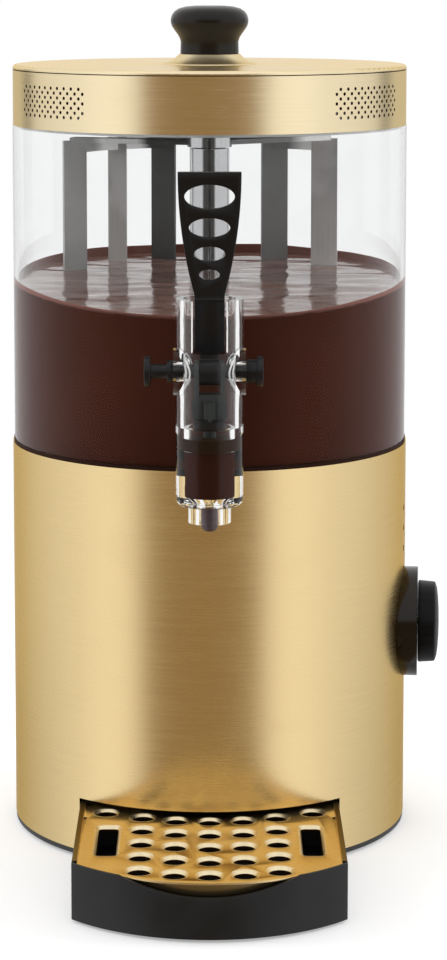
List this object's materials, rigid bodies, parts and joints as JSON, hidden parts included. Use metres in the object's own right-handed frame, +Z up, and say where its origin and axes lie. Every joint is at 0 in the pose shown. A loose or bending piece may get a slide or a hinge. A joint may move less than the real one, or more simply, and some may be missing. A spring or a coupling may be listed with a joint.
{
  "type": "hot chocolate dispenser",
  "caption": "Counter-top hot chocolate dispenser with a heated brass-coloured base, clear bowl, turning stirrer, lever tap, dial, lift-off lid and pull-out drip tray.",
  "frame": {"origin": "the point on the table under the bowl's axis, at the height of the soles of the feet", "axes": "+Z up along the bowl's axis; the tap and the drip tray face -Y; +X is the user's right, where the dial is"},
  "size_m": [0.2613, 0.3585, 0.499],
  "materials": {
    "satin_gold": "brushed satin sheet metal in a warm brass colour",
    "black_plastic": "moulded, lightly textured",
    "charcoal_plastic": "moulded, satin",
    "black_gloss": "moulded, semi-gloss",
    "bezel_gloss": "polished, dark",
    "black_rubber": "soft seal rubber",
    "foot_rubber": "rubber feet",
    "light_rubber": "pale food-grade seal",
    "clear_plastic": "clear moulded plastic, polished",
    "stainless": "polished stainless steel",
    "paddle_steel": "grey satin",
    "zinc_steel": "plain",
    "heater_sheath": "oxidised sheath",
    "cast_gearbox": "die cast",
    "light_plastic": "heat-resistant moulding",
    "chocolate": "thick brown drink, glossy"
  },
  "bodies": {
    "base": {"base_plate": "black_plastic", "base_feet": "foot_rubber", "base_screws": "zinc_steel", "base_shell": "satin_gold", "water_bath": "stainless", "heating_element": "heater_sheath", "safety_cutout": "light_plastic", "thermostat": "light_plastic", "motor_bracket": "zinc_steel", "gearbox": "cast_gearbox", "motor": "zinc_steel", "motor_screws": "zinc_steel", "terminal_block": "light_plastic", "power_inlet": "black_plastic", "bowl_gasket": "black_rubber", "bowl": "clear_plastic", "bowl_floor": "stainless", "column": "stainless", "column_bush": "light_plastic", "tap_body": "clear_plastic", "tap_washer": "black_rubber", "tap_drink": "chocolate", "lever_pin": "black_plastic", "dial_bezel": "bezel_gloss"},
    "lid": {"lid_cap": "satin_gold", "lid_skirt": "satin_gold", "lid_seal": "light_rubber", "lid_boss": "satin_gold", "lid_knob": "black_gloss", "lid_screw": "zinc_steel"},
    "stirrer": {"drive_shaft": "stainless", "stirrer_hub": "stainless", "left_paddles": "paddle_steel", "right_paddles": "paddle_steel", "drink": "chocolate"},
    "lever": {"tap_lever": "black_gloss"},
    "plunger": {"plunger": "black_plastic", "plunger_collar": "black_rubber", "piston_seal": "black_rubber", "valve_plug": "black_rubber"},
    "dial": {"dial_knob": "black_gloss", "dial_spindle": "stainless"},
    "tray": {"drip_pan": "charcoal_plastic", "drip_grille": "satin_gold"}
  },
  "joints": [
    {"name": "lid_lift", "type": "slide", "parent": "base", "child": "lid", "axis": [0, 0, 1], "range_m": [0, 0.12]},
    {"name": "stirrer_turn", "type": "hinge", "parent": "base", "child": "stirrer", "pos_m": [0, 0, 0.3], "axis": [0, 0, 1], "continuous": true},
    {"name": "lever_pull", "type": "hinge", "parent": "base", "child": "lever", "pos_m": [0, -0.168, 0.301], "axis": [1, 0, 0], "range_deg": [0, 35]},
    {"name": "plunger_lift", "type": "slide", "parent": "base", "child": "plunger", "axis": [0, 0, 1], "range_m": [0, 0.00405]},
    {"name": "dial_turn", "type": "hinge", "parent": "base", "child": "dial", "pos_m": [0, 0, 0.1235], "axis": [0.9962, -0.0872, 0], "range_deg": [-270, 0]},
    {"name": "tray_pull", "type": "slide", "parent": "base", "child": "tray", "axis": [0, -1, 0], "range_m": [0, 0.15]}
  ],
  "couplings": [
    {"joint": "plunger_lift", "follows": "lever_pull", "m_per_rad": 0.00658}
  ]
}
